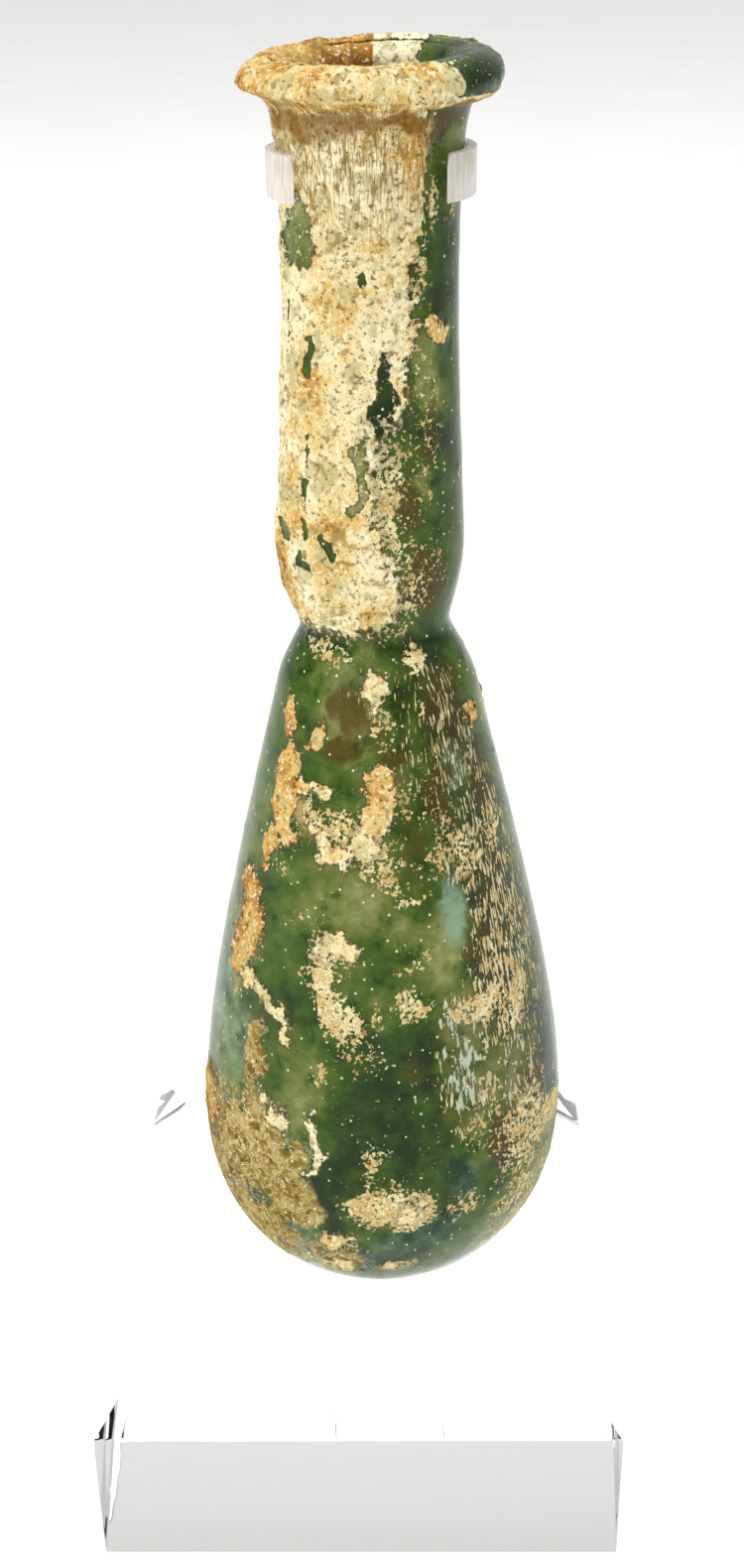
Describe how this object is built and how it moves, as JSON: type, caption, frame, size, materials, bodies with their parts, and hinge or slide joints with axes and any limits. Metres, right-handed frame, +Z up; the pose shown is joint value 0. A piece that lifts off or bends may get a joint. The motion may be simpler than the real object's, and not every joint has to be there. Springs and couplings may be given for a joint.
{
  "type": "roman glass bottle on display stand",
  "caption": "Pear-shaped ancient blown glass bottle with a pinched throat, tall neck and folded lip, steadied by a clip on a clear bevelled block.",
  "frame": {"origin": "middle of the stand block's underside", "axes": "+Z up along the bottle, -Y to the front where the clip is open, +X to the right"},
  "size_m": [0.057, 0.067, 0.1545],
  "materials": {
    "ancient_glass": "weathered green glass under cream and ochre crust",
    "acrylic": "clear polished cast acrylic"
  },
  "bodies": {
    "root": {"bottle": "ancient_glass", "stand_block": "acrylic", "stand_post": "acrylic", "neck_clip": "acrylic"}
  },
  "joints": []
}
